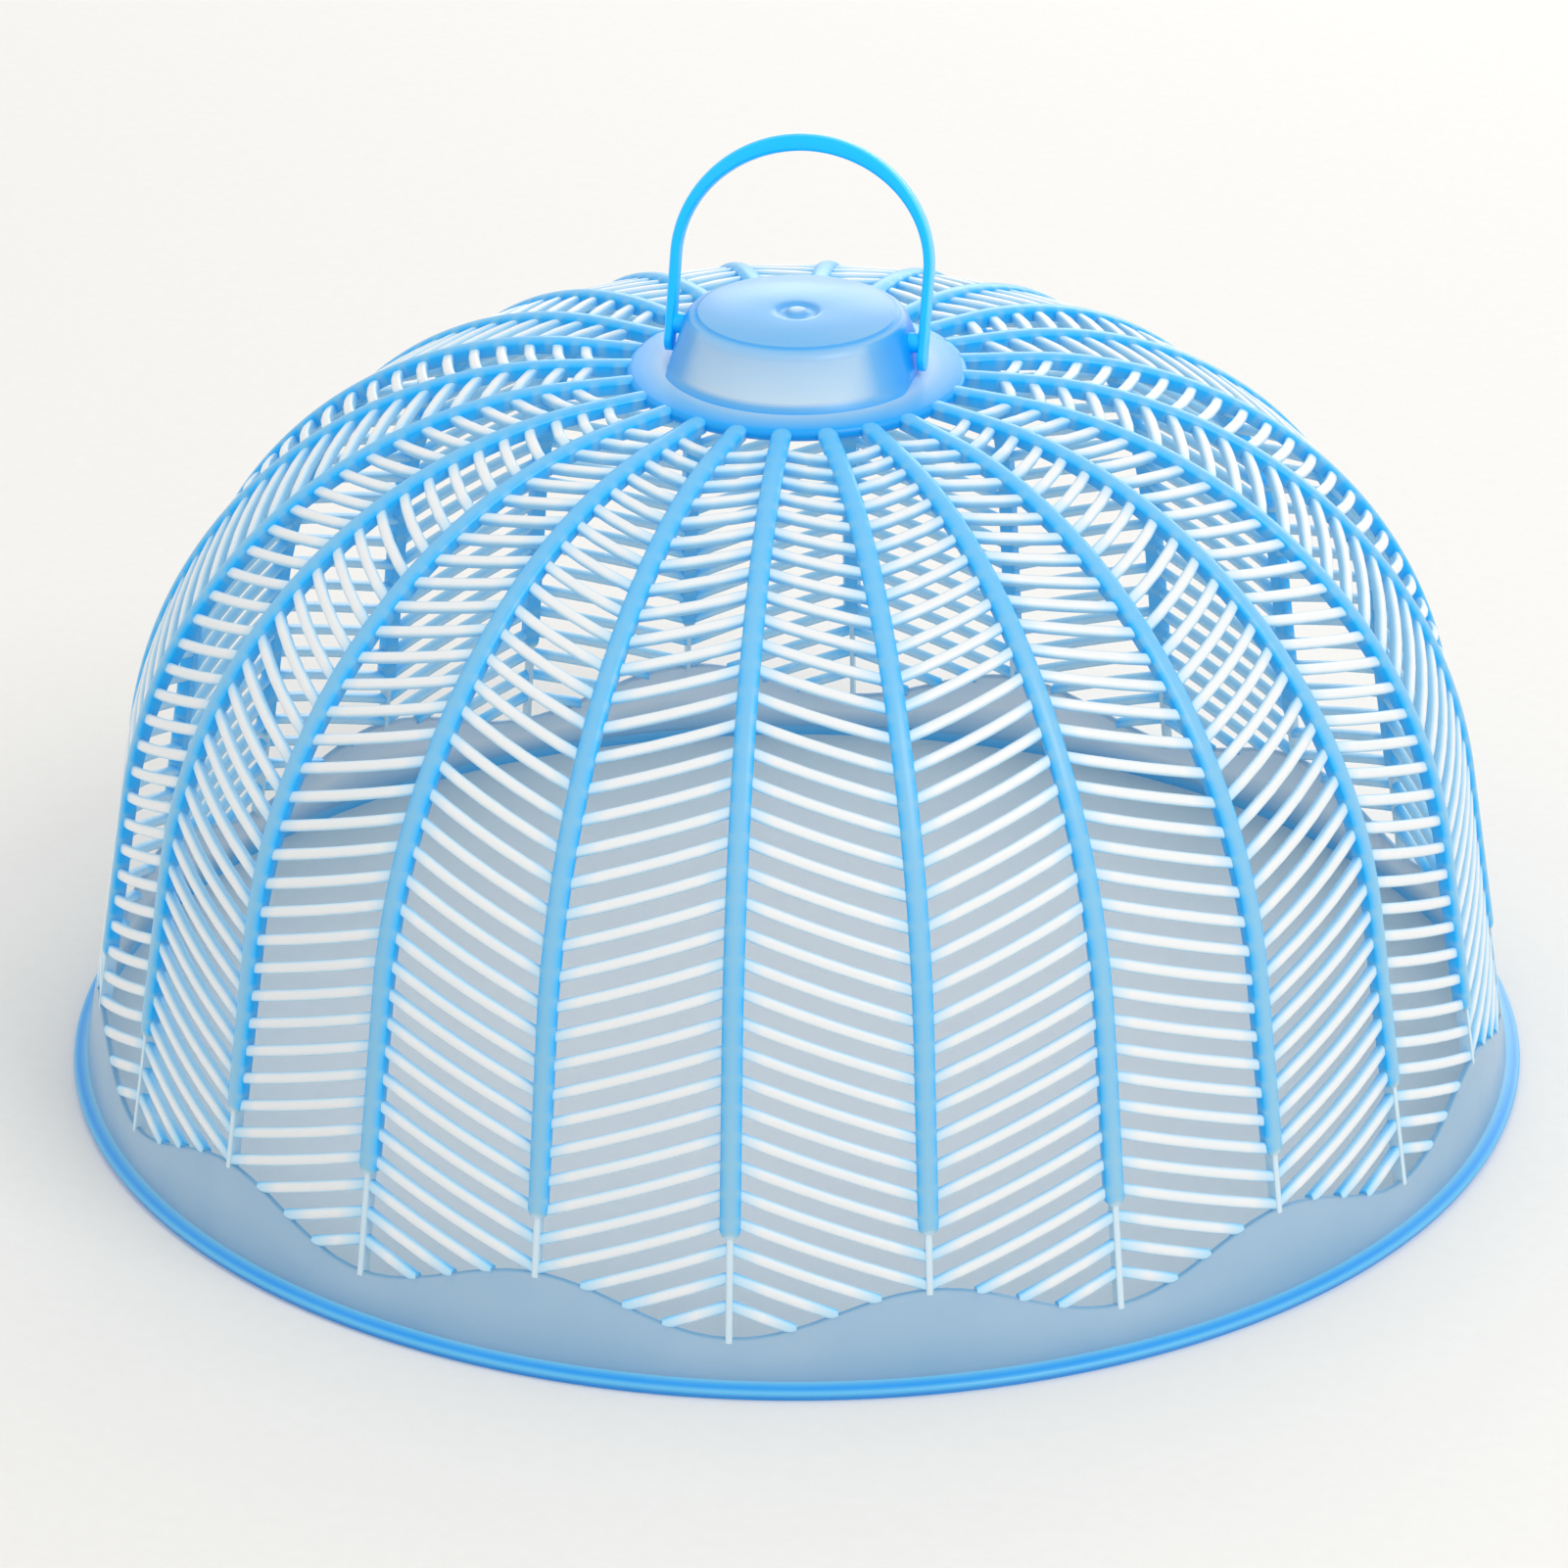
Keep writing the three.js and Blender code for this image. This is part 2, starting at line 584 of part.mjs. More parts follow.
const petal = petalGeometry();
const divider = skin(ribRows(BAND_PEAK_HEIGHT).map(ribSection), false);
for (let i = 0; i < PETAL_COUNT; i += 1) {
  const number = String(i + 1).padStart(2, '0');
  const turn = PHASE + i * PETAL_ANGLE;
  addMesh(`petal_${number}`, petal, plastic(CLEAR_PALE, 0.3)).rotation.z = turn;
  addMesh(`divider_rib_${number}`, divider, plastic(CLEAR_BLUE, 0.3)).rotation.z = turn + SECTOR_ANGLE;
}

addMesh('crown_ring', ringGeometry(), plastic(BRIGHT_BLUE, 0.25));
addMesh('crown_hub', hubGeometry(), plastic(CLEAR_PALE, 0.2));

const bail = addMesh('bail_handle', bailGeometry(), plastic(BRIGHT_BLUE, 0.25));
bail.position.z = pivotHeight;
bail.rotation.x = -BAIL_LEAN;

export default cover;
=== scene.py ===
# The looks of the food cover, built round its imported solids. Metres, +Z up, the bail's axis along X.

import json
import math

import bmesh
import bpy
from mathutils import Matrix, Vector


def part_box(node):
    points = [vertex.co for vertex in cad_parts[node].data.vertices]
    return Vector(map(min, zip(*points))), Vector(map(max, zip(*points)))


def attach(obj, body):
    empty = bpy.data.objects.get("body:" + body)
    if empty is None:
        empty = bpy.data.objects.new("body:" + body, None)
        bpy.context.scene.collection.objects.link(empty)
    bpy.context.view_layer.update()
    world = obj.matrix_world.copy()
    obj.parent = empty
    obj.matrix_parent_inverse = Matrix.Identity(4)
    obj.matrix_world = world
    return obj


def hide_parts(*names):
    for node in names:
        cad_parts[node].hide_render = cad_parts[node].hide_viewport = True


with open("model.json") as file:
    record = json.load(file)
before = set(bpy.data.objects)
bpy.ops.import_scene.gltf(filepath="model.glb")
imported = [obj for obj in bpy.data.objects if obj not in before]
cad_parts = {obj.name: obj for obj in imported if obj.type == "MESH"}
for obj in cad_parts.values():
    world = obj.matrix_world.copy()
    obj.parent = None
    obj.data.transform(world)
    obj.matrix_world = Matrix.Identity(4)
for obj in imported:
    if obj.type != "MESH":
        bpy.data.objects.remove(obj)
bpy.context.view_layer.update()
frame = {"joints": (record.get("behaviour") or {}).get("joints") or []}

MM = 0.001

# In what follows, the depth of the plastic runs from 0, where it is thin and pale, to 1, where it is
# thick and deep blue. In places it also carries painted shade and painted light, as noted where they
# are.

# Dome outside
LIP_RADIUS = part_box("rim_lip")[1].x
LIP_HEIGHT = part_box("rim_lip")[1].z
LIP_REACH = 2.5 * MM  # from the wall out to the lip's edge
WALL_DRAFT = math.radians(9)
SHOULDER_RADIUS = 97 * MM
CROWN_RADIUS = 770 * MM
DOME_HEIGHT = 149.5 * MM  # of the crown's curve where it meets the middle axis

# Lip and scalloped band
LIP_FOOT_WIDTH = 3.4 * MM
LIP_EDGE_HEIGHT = 1.4 * MM
BAND_WALL = 1.6 * MM
BAND_VALLEY_HEIGHT = 11 * MM
BAND_PEAK_HEIGHT = 19.8 * MM
BAND_ROUNDING = 0.6 * MM
BAND_CORNER = 0.3 * BAND_ROUNDING  # from the square corner in to the middle of the round one

# Ribs
PETAL_COUNT = 12
RIB_WIDTH = 4.0 * MM
RIB_CREST_RISE = 0.8 * MM
RIB_EDGE_RISE = -0.2 * MM
RIB_TOP_RISE = 0.6 * MM  # of the crest where it meets the crown ring
RIB_TOP_SHARE = 0.1  # of the rib's length, over which its crest comes down to that
RIB_RING_OVERLAP = 1.0 * MM
RIB_THICKNESS = 2.4 * MM
RIB_BACK_SHARE = 0.72  # of the rib's width, at its back
RIB_BACK_DEPTH = 0.85  # of the plastic
RIB_CREST_DEPTHS = 0.5, 0.8  # of the plastic, at the dome's foot and at the crown ring
RIB_END_HEIGHT = 30.7 * MM
RIB_END_ROUNDING = 1.8 * MM
RIB_END_STEP = 0.01 * MM  # along the rib, from the thin foot to the round end
RIB_FOOT_WIDTH = 1.3 * MM
RIB_FOOT_RISE = 0.1 * MM
RIB_FOOT_OVERLAP = 1.0 * MM  # of the thin foot with the band
RIB_FOOT_DEPTH_SHARE = 0.3  # of the plastic's depth in the rest of the rib
JOIN_PALENESS = 0.3  # how much paler a rib's sides are once in every pitch of the slats

# Slats
SLAT_PITCH = 5.66 * MM
SLAT_HEIGHT = 2.45 * MM
SLAT_THICKNESS = 2.2 * MM
SLAT_SINK = 0.1 * MM  # of a slat's face below the dome's surface
SLAT_ROUNDING = 0.65 * MM
SLAT_BACK_SHARE = 0.75  # of a slat's height, at its back
SLAT_SLOPE = math.radians(20.5)
SLAT_RING_GAP = 0.5 * MM
SLAT_BAND_OVERLAP = 0.5 * MM
SLAT_FRONT_SHADE_DEPTHS = 0.0, 0.48  # of the plastic, on the face and on the sides next to it; the deeper sides are partly clear plastic seen edge-on, partly painted shade
# The back faces into the cover and is painted deeper: painted shade
SLAT_BACK_SHADE_DEPTHS = 0.35, 0.6
SLAT_ROOT_DEPTH = 0.5  # how much deeper a slat's plastic is at its two ends
FIRST_SLAT_RISE = 6.4 * MM  # of the lowest slat over the band's valley

# Crown ring
RING_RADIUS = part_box("crown_ring")[1].x
RING_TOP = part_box("crown_ring")[1].z
RING_HOLE_RADIUS = 21.2 * MM
RING_SLOPE_RISE = 0.6 * MM
RING_THICKNESS = 2.6 * MM
RING_SHADE_REACH = 5.5 * MM  # in from its edge, over which the blue deepens towards the round edge: painted shade for the shadowed ribs under the clear ring
RING_FOOT_SINK = 0.2 * MM  # of its top beside the hub's foot

# Hub
HUB_FOOT_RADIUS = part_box("crown_hub")[1].y
HUB_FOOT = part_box("crown_hub")[0].z
HUB_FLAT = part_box("crown_hub")[1].x
HUB_TOP_RADIUS = 19.9 * MM
HUB_HEIGHT = 10.9 * MM
HUB_SHOULDER = 2.7 * MM
HUB_DISC_STEP = 0.35 * MM  # of the top's disc over its shoulder
HUB_WALL = 1.7 * MM
HUB_FILLET = 1.5 * MM  # where the hub's foot runs out on the ring
HUB_FOOT_SINK = 0.35 * MM  # of the hub's foot in the ring, so that no seam shows
STUD_SHADE_REACH = 0.24  # of the deep blue patches beside the bail's studs, as 1 less a cosine
DIMPLE_RADIUS = 4.4 * MM
DIMPLE_DEPTH = 0.5 * MM
NUB_RADIUS = 2.2 * MM
NUB_RISE = 0.8 * MM

# Bail handle
SWING_GAP = 0.5 * MM
PIVOT = Vector(frame["joints"][0]["pos_m"])
BAIL_LEAN = math.radians(20)
BAIL_HEIGHT = 39.4 * MM
BAIL_OUTSIDE_DEPTH = 0.55  # of the plastic
LEG_HEIGHT = 14 * MM  # from the pivot to where the arch begins
LEG_THICKNESS = 1.7 * MM
GRIP_THICKNESS = 3.4 * MM
BAIL_WIDTH = 4.4 * MM
BAIL_ROUNDING = 0.6 * MM
LEG_END_RADIUS = 2.4 * MM
LEG_TAIL = 3.0 * MM  # from the pivot down to the middle of the leg's round end
LEG_TIP = 0.1 * MM  # how far the tip stands out from the round end
STUD_RADIUS = 2.0 * MM
STUD_HEAD_RADIUS = 2.6 * MM
STUD_HEAD_LENGTH = 4.2 * MM
STUD_TAPER_SHARE = 0.4  # of the head's length, at its tip
STUD_TIP_SHARE = 0.75  # of the stud's radius, at the tip

# How finely curves are cut
RIM_STEPS = 288
RING_STEPS = 144
RIB_STEPS_PER_SLAT = 6
RIB_END_STEPS = 4
BEAD_STEPS = 8
SLAT_STEP = 6 * MM
CORNER_STEPS = 2
LEG_STEPS = 4
LEG_END_STEPS = 10
ARCH_STEPS = 64
STUD_STEPS = 32
HALVINGS = 40  # of the interval in which a crossing is looked for

PETAL_ANGLE = math.tau / PETAL_COUNT
SECTOR_ANGLE = PETAL_ANGLE / 2
PHASE = SECTOR_ANGLE / 2  # the bail's axis lies halfway between two ribs


def lerp(a, b, share):
    return a + (b - a) * share


def turning_point(is_past, low, high):
    """Where a test turns from false to true, found by halving the interval between low and high."""
    for _ in range(HALVINGS):
        middle = (low + high) / 2
        if is_past(middle):
            high = middle
        else:
            low = middle
    return low


class DomeOutline:
    """A tapered wall, a round shoulder and a nearly flat crown that run into each other smoothly."""

    def __init__(self):
        self.foot_radius = LIP_RADIUS - LIP_REACH
        self.crown_centre = DOME_HEIGHT - CROWN_RADIUS
        up = Vector((-math.sin(WALL_DRAFT), math.cos(WALL_DRAFT)))
        out = Vector((math.cos(WALL_DRAFT), math.sin(WALL_DRAFT)))
        # The shoulder's centre climbs along the wall until its arc touches the crown's from inside
        start = Vector((self.foot_radius, 0)) - out * SHOULDER_RADIUS
        from_crown = start - Vector((0, self.crown_centre))
        along = from_crown.dot(up)
        reach = CROWN_RADIUS - SHOULDER_RADIUS
        self.wall_length = math.sqrt(along ** 2 - from_crown.length_squared + reach ** 2) - along
        self.shoulder = start + up * self.wall_length
        self.crown_angle = math.atan2(self.shoulder.y - self.crown_centre, self.shoulder.x)
        self.shoulder_length = SHOULDER_RADIUS * (self.crown_angle - WALL_DRAFT)
        crown_length = CROWN_RADIUS * (math.pi / 2 - self.crown_angle)
        self.length = self.wall_length + self.shoulder_length + crown_length

    def at(self, station):
        """Radius and height at a length along the outline, and the direction that it faces there."""
        if station < self.wall_length:
            radius = self.foot_radius - station * math.sin(WALL_DRAFT)
            return radius, station * math.cos(WALL_DRAFT), WALL_DRAFT
        past = station - self.wall_length
        if past < self.shoulder_length:
            facing = WALL_DRAFT + past / SHOULDER_RADIUS
            radius = self.shoulder.x + SHOULDER_RADIUS * math.cos(facing)
            return radius, self.shoulder.y + SHOULDER_RADIUS * math.sin(facing), facing
        facing = self.crown_angle + (past - self.shoulder_length) / CROWN_RADIUS
        height = self.crown_centre + CROWN_RADIUS * math.sin(facing)
        return CROWN_RADIUS * math.cos(facing), height, facing

    def at_height(self, height):
        return turning_point(lambda station: self.at(station)[1] > height, 0, self.length)

    def at_radius(self, radius):
        return turning_point(lambda station: self.at(station)[0] < radius, 0, self.length)

    def point(self, station, turn, rise=0.0, climb=0.0):
        """A point near the dome: `rise` stands out from the surface, `climb` runs up along it."""
        radius, height, facing = self.at(station)
        outward = radius + rise * math.cos(facing) - climb * math.sin(facing)
        upward = height + rise * math.sin(facing) + climb * math.cos(facing)
        return Vector((outward * math.cos(turn), outward * math.sin(turn), upward))


dome = DomeOutline()


class Skin:
    """Collects rows of matching rings into one mesh, with the depth of the plastic at each point."""

    def __init__(self):
        self.points = []
        self.faces = []
        self.depths = []

    def sweep(self, rings, depths, closed=False):
        """Skins a row of rings. Each ring has a list of depths, one for each of its points. A row that
        isn't closed gets a flat face at either end."""
        start = len(self.points)
        count = len(rings[0])
        for ring, row in zip(rings, depths):
            self.points += ring
            self.depths += row
        spans = len(rings) if closed else len(rings) - 1
        for i in range(spans):
            here = start + i * count
            there = start + (i + 1) % len(rings) * count
            for j in range(count):
                k = (j + 1) % count
                self.faces.append((here + j, here + k, there + k, there + j))
        if not closed:
            self.faces.append(tuple(range(start + count - 1, start - 1, -1)))
            self.faces.append(tuple(range(start + spans * count, start + (spans + 1) * count)))

    def piece(self, name, material, body, slot, *nodes, sharp=40):
        """Makes the mesh a piece that rides on a body and stands for the CAD nodes. Edges that turn by
        more than `sharp` degrees aren't smoothed."""
        mesh = bpy.data.meshes.new(name)
        mesh.from_pydata(self.points, [], self.faces)
        mesh.attributes.new("depth", "FLOAT", "POINT").data.foreach_set("value", self.depths)
        work = bmesh.new()
        work.from_mesh(mesh)
        bmesh.ops.recalc_face_normals(work, faces=work.faces)
        work.to_mesh(mesh)
        work.free()
        mesh.shade_smooth()
        mesh.set_sharp_from_angle(angle=math.radians(sharp))
        mesh.materials.append(material)
        thing = bpy.data.objects.new(name, mesh)
        bpy.context.scene.collection.objects.link(thing)
        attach(thing, body)
        if nodes:
            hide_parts(*nodes)


# Outlines are lists of (radius, height, depth of the plastic).

def arc(centre, radius, start, end, steps):
    """Points round an arc, from a start angle to an end angle in degrees."""
    points = []
    for i in range(steps + 1):
        angle = math.radians(lerp(start, end, i / steps))
        points.append((centre[0] + radius * math.cos(angle), centre[1] + radius * math.sin(angle)))
    return points


def tinted(points, depths):
    """Points as a stretch of an outline, with the depth of the plastic at each."""
    return [(*point, depth) for point, depth in zip(points, depths)]


def depths_along(outline):
    return [depth for *_, depth in outline]


def turned(outline, steps):
    """The points of an outline at each step of a turn about Z."""
    rings = []
    for i in range(steps):
        turn = math.tau * i / steps
        aside, ahead = math.cos(turn), math.sin(turn)
        rings.append([Vector((radius * aside, radius * ahead, height)) for radius, height, _ in outline])
    return rings


def circles(outline, steps):
    """A circle about Z for each point of an outline."""
    return [list(circle) for circle in zip(*turned(outline, steps))]


# The corners of a rectangle, as two signs and the angle in degrees at which each corner's arc starts
CORNERS = [(1, 1, 0), (-1, 1, 90), (-1, -1, 180), (1, -1, 270)]


# Materials

PLASTIC_IOR = 1.49
PLASTIC_SPECULAR = 0.3
COAT_WEIGHT = 0.1
COAT_ROUGHNESS = 0.15
CLOUD_SCALE = 45  # how many swells of the noise a metre holds, as with the other scales
CLOUD_DEPTH = 0.07  # how much the clouds add to the plastic's depth, or take from it
STREAK_SCALE = 90
ROUGHNESS_RANGE = 0.29, 0.38
WAVE_SCALE = 60
WAVE_HEIGHT = 1.0 * MM


def add_noise(tree, place, scale, detail):
    """A noise that is fixed to the object."""
    noise = tree.nodes.new("ShaderNodeTexNoise")
    noise.inputs["Scale"].default_value = scale
    noise.inputs["Detail"].default_value = detail
    tree.links.new(place.outputs["Object"], noise.inputs["Vector"])
    return noise.outputs["Fac"]


def add_range(tree, value, low, high):
    """A value from 0 to 1, spread over another range."""
    spread = tree.nodes.new("ShaderNodeMapRange")
    spread.inputs["To Min"].default_value = low
    spread.inputs["To Max"].default_value = high
    tree.links.new(value, spread.inputs["Value"])
    return spread.outputs["Result"]


def plastic(name, pale, middle, deep, see_through, painted_glow, waves=0.0):
    """Clear tinted plastic, paler where it is thin and deeper where it is thick, with faint clouds and a
    slightly uneven gloss. `waves` is how strongly its surface swells, as on a thin moulding.
    `painted_glow`
    is how strongly it glows in its own tint: painted light that stands in for light scattered inside it."""
    material = bpy.data.materials.new(name)
    material.use_nodes = True
    tree = material.node_tree
    shader = tree.nodes["Principled BSDF"]
    shader.inputs["IOR"].default_value = PLASTIC_IOR
    shader.inputs["Specular IOR Level"].default_value = PLASTIC_SPECULAR
    shader.inputs["Transmission Weight"].default_value = see_through
    shader.inputs["Coat Weight"].default_value = COAT_WEIGHT
    shader.inputs["Coat Roughness"].default_value = COAT_ROUGHNESS
    # Painted glow: the plastic glows in its own tint, painted light standing in for light scattered
    # inside it
    shader.inputs["Emission Strength"].default_value = painted_glow

    place = tree.nodes.new("ShaderNodeTexCoord")
    depth = tree.nodes.new("ShaderNodeAttribute")
    depth.attribute_name = "depth"
    clouds = add_noise(tree, place, CLOUD_SCALE, detail=3)
    shade = tree.nodes.new("ShaderNodeMath")
    shade.operation = "ADD"
    shade.use_clamp = True
    tree.links.new(depth.outputs["Fac"], shade.inputs[0])
    tree.links.new(add_range(tree, clouds, -CLOUD_DEPTH, CLOUD_DEPTH), shade.inputs[1])
    tint = tree.nodes.new("ShaderNodeValToRGB")
    tint.color_ramp.elements[0].color = (*pale, 1)
    tint.color_ramp.elements[1].color = (*deep, 1)
    tint.color_ramp.elements.new(0.5).color = (*middle, 1)
    tree.links.new(shade.outputs["Value"], tint.inputs["Fac"])
    tree.links.new(tint.outputs["Color"], shader.inputs["Base Color"])
    tree.links.new(tint.outputs["Color"], shader.inputs["Emission Color"])

    streaks = add_noise(tree, place, STREAK_SCALE, detail=2)
    tree.links.new(add_range(tree, streaks, *ROUGHNESS_RANGE), shader.inputs["Roughness"])
    if waves:
        bump = tree.nodes.new("ShaderNodeBump")
        bump.inputs["Strength"].default_value = waves
        bump.inputs["Distance"].default_value = WAVE_HEIGHT
        tree.links.new(add_noise(tree, place, WAVE_SCALE, detail=0), bump.inputs["Height"])
        tree.links.new(bump.outputs["Normal"], shader.inputs["Normal"])
    return material


SLAT_PLASTIC = plastic(
    "slat_plastic", pale=(0.82, 0.82, 0.81), middle=(0.42, 0.71, 0.88), deep=(0.06, 0.52, 0.94),
    see_through=0.12, painted_glow=0.09)
RIB_PLASTIC = plastic(
    "rib_plastic", pale=(0.78, 0.84, 0.87), middle=(0.29, 0.54, 0.68), deep=(0.01, 0.45, 0.92),
    see_through=0.1, painted_glow=0.1)
BAND_PLASTIC = plastic(
    "band_plastic", pale=(0.82, 0.84, 0.87), middle=(0.27, 0.52, 0.73), deep=(0.04, 0.42, 0.88),
    see_through=0.5, painted_glow=0.05, waves=0.06)
LIP_PLASTIC = plastic(
    "lip_plastic", pale=(0.40, 0.60, 0.76), middle=(0.12, 0.50, 0.84), deep=(0.02, 0.33, 0.86),
    see_through=0.12, painted_glow=0.06, waves=0.05)
RING_PLASTIC = plastic(
    "ring_plastic", pale=(0.56, 0.74, 0.88), middle=(0.20, 0.54, 0.88), deep=(0.0, 0.40, 0.94),
    see_through=0.25, painted_glow=0.06, waves=0.05)
HUB_PLASTIC = plastic(
    "hub_plastic", pale=(0.68, 0.82, 0.88), middle=(0.16, 0.50, 0.86), deep=(0.0, 0.38, 0.95),
    see_through=0.25, painted_glow=0.06, waves=0.03)
BAIL_PLASTIC = plastic(
    "bail_plastic", pale=(0.40, 0.70, 0.95), middle=(0.10, 0.56, 0.97), deep=(0.0, 0.48, 0.98),
    see_through=0.0, painted_glow=0.12)


# Lip and band

def band_edge(turn):
    """Height of the band's top edge at a turn from a petal's spine."""
    share = (1 - math.cos(math.pi * min(abs(turn) / SECTOR_ANGLE, 1))) / 2
    return lerp(BAND_VALLEY_HEIGHT, BAND_PEAK_HEIGHT, share)


def make_lip():
    """The lip as a turned outline: its foot, its round edge, the slope up to the wall and its inside.
    The slope is deepest low down, which draws a line along the rim."""
    inside = LIP_RADIUS - LIP_REACH - BAND_WALL
    outline = [(inside, 0, 0.6), (inside + LIP_FOOT_WIDTH, 0, 0.9)]
    edge = arc((LIP_RADIUS - LIP_EDGE_HEIGHT / 2, LIP_HEIGHT / 2), LIP_EDGE_HEIGHT / 2, -60, 75, 6)
    outline += tinted(edge, [1.0, 0.9, 0.75, 0.6, 0.5, 0.5, 0.7])
    slope_foot = Vector(edge[-1])
    wall_foot = Vector((LIP_RADIUS - LIP_REACH, LIP_HEIGHT))
    outline += tinted([slope_foot.lerp(wall_foot, share) for share in (0.3, 0.6, 1)], [1.0, 0.8, 0.35])
    outline += [(inside - LIP_HEIGHT * math.tan(WALL_DRAFT), LIP_HEIGHT, 0.3)]
    skin = Skin()
    skin.sweep(turned(outline, RIM_STEPS), [depths_along(outline)] * RIM_STEPS, closed=True)
    skin.piece("lip_bead", LIP_PLASTIC, "cover", "lip_plastic", "rim_lip")


def make_band():
    """The band as a ring of sections that follow its scalloped edge, with that edge rounded."""
    rings, depths = [], []
    foot = dome.at_height(LIP_HEIGHT)
    for i in range(RIM_STEPS):
        turn = math.tau * i / RIM_STEPS
        past_spine = turn % PETAL_ANGLE
        top = dome.at_height(band_edge(min(past_spine, PETAL_ANGLE - past_spine)))
        middle = lerp(foot, top, 0.5)
        section = [  # (station, rise, climb, depth of the plastic)
            (foot, -BAND_WALL, 0, 0.5),
            (foot, 0, 0, 0.42),
            (middle, 0, 0, 0.38),
            (top, 0, -BAND_ROUNDING, 0.36),
            (top, -BAND_CORNER, -BAND_CORNER, 0.5),
            (top, -BAND_ROUNDING, 0, 0.6),
            (top, -BAND_WALL + BAND_ROUNDING, 0, 0.4),
            # The inside face is painted paler than the outside: painted light that lifts it out of the
            # shade inside the cover
            (top, -BAND_WALL, -BAND_ROUNDING, 0.15),
            (middle, -BAND_WALL, 0, 0.0)]
        ring = []
        for station, rise, climb, _ in section:
            ring.append(dome.point(station, turn + PHASE, rise, climb))
        rings.append(ring)
        depths.append(depths_along(section))
    skin = Skin()
    skin.sweep(rings, depths, closed=True)
    skin.piece("band_wall", BAND_PLASTIC, "cover", "band_plastic", "rim_band")


# Ribs and slats

RIB_TOP = dome.at_radius(RING_RADIUS - RIB_RING_OVERLAP)
FIRST_SLAT = dome.at_height(BAND_VALLEY_HEIGHT + FIRST_SLAT_RISE)
SLAT_ROOM = dome.at_radius(RING_RADIUS + SLAT_RING_GAP) - SLAT_HEIGHT - FIRST_SLAT
SLAT_COUNT = int(SLAT_ROOM / SLAT_PITCH) + 1


def rib_section(width, crest, crest_depth):
    """(aside, rise, depth of the plastic) round a rib: a rounded bead on a web, narrower at its back."""
    edge = crest * RIB_EDGE_RISE / RIB_CREST_RISE
    back = width / 2 * RIB_BACK_SHARE
    section = [(back, -RIB_THICKNESS, RIB_BACK_DEPTH)]
    for i in range(BEAD_STEPS + 1):
        angle = math.pi * i / BEAD_STEPS
        aside = width / 2 * math.cos(angle)
        depth = lerp(crest_depth, 1, math.cos(angle) ** 2)
        section.append((aside, lerp(edge, crest, math.sin(angle)), depth))
    section.append((-back, -RIB_THICKNESS, RIB_BACK_DEPTH))
    return section


def rib_rows(foot_height):
    """(station, width, rise of the crest) up a rib: its thin foot, its round end and its bead."""
    foot = dome.at_height(foot_height) - RIB_FOOT_OVERLAP
    end = dome.at_height(RIB_END_HEIGHT)
    rows = [(foot, RIB_FOOT_WIDTH, RIB_FOOT_RISE), (end - RIB_END_STEP, RIB_FOOT_WIDTH, RIB_FOOT_RISE)]
    for i in range(1, RIB_END_STEPS + 1):
        angle = math.pi / 2 * i / RIB_END_STEPS
        station = end + RIB_END_ROUNDING * (1 - math.cos(angle))
        width = lerp(RIB_FOOT_WIDTH, RIB_WIDTH, math.sin(angle))
        rows.append((station, width, lerp(RIB_FOOT_RISE, RIB_CREST_RISE, math.sin(angle))))
    start = rows[-1][0]
    steps = round((RIB_TOP - start) / SLAT_PITCH * RIB_STEPS_PER_SLAT)
    for i in range(1, steps + 1):
        share = i / steps
        near_top = max(0, share - (1 - RIB_TOP_SHARE)) / RIB_TOP_SHARE
        crest = lerp(RIB_CREST_RISE, RIB_TOP_RISE, near_top)
        rows.append((lerp(start, RIB_TOP, share), RIB_WIDTH, crest))
    return rows


def make_rib(name, turn, foot_height, node):
    """One rib, from the band's edge up into the crown ring. Its sides are paler once in every pitch of
    the slats, as though a slat joined them there."""
    across = Vector((-math.sin(turn), math.cos(turn), 0))
    rings, depths = [], []
    for station, width, crest in rib_rows(foot_height):
        section = rib_section(width, crest, lerp(*RIB_CREST_DEPTHS, station / RIB_TOP))
        rings.append([dome.point(station, turn, rise) + across * aside for aside, rise, _ in section])
        grown = (width - RIB_FOOT_WIDTH) / (RIB_WIDTH - RIB_FOOT_WIDTH)
        depth_share = lerp(RIB_FOOT_DEPTH_SHARE, 1.0, grown ** 3)
        from_slat = (station - FIRST_SLAT) / SLAT_PITCH
        join = JOIN_PALENESS * max(0, math.cos(math.tau * from_slat)) ** 2
        row = []
        for aside, _, depth in section:
            row.append((depth - join * (aside / (width / 2)) ** 2) * depth_share)
        depths.append(row)
    skin = Skin()
    skin.sweep(rings, depths)
    skin.piece(name, RIB_PLASTIC, "cover", "rib_plastic", node)


def slat_section():
    """(rise, climb, depth of the plastic) round a slat: a bar with rounded edges, lower at its back. Its
    sides and back are painted deeper than its face, partly as painted shade.
    """
    section = []
    for outward, upward, start in CORNERS:
        half = SLAT_HEIGHT / 2 * (1 if outward > 0 else SLAT_BACK_SHARE)
        centre = (outward * (SLAT_THICKNESS / 2 - SLAT_ROUNDING), upward * (half - SLAT_ROUNDING))
        corner = arc(centre, SLAT_ROUNDING, start, start + 90, CORNER_STEPS)
        for i, (rise, climb) in enumerate(corner):
            facing = math.radians(start + 90 * i / CORNER_STEPS)
            face_and_side = SLAT_FRONT_SHADE_DEPTHS if outward > 0 else SLAT_BACK_SHADE_DEPTHS
            depth = lerp(*face_and_side, math.sin(facing) ** 2)
            section.append((rise - SLAT_SINK - SLAT_THICKNESS / 2, climb, depth))
    return section


SLAT_SECTION = slat_section()


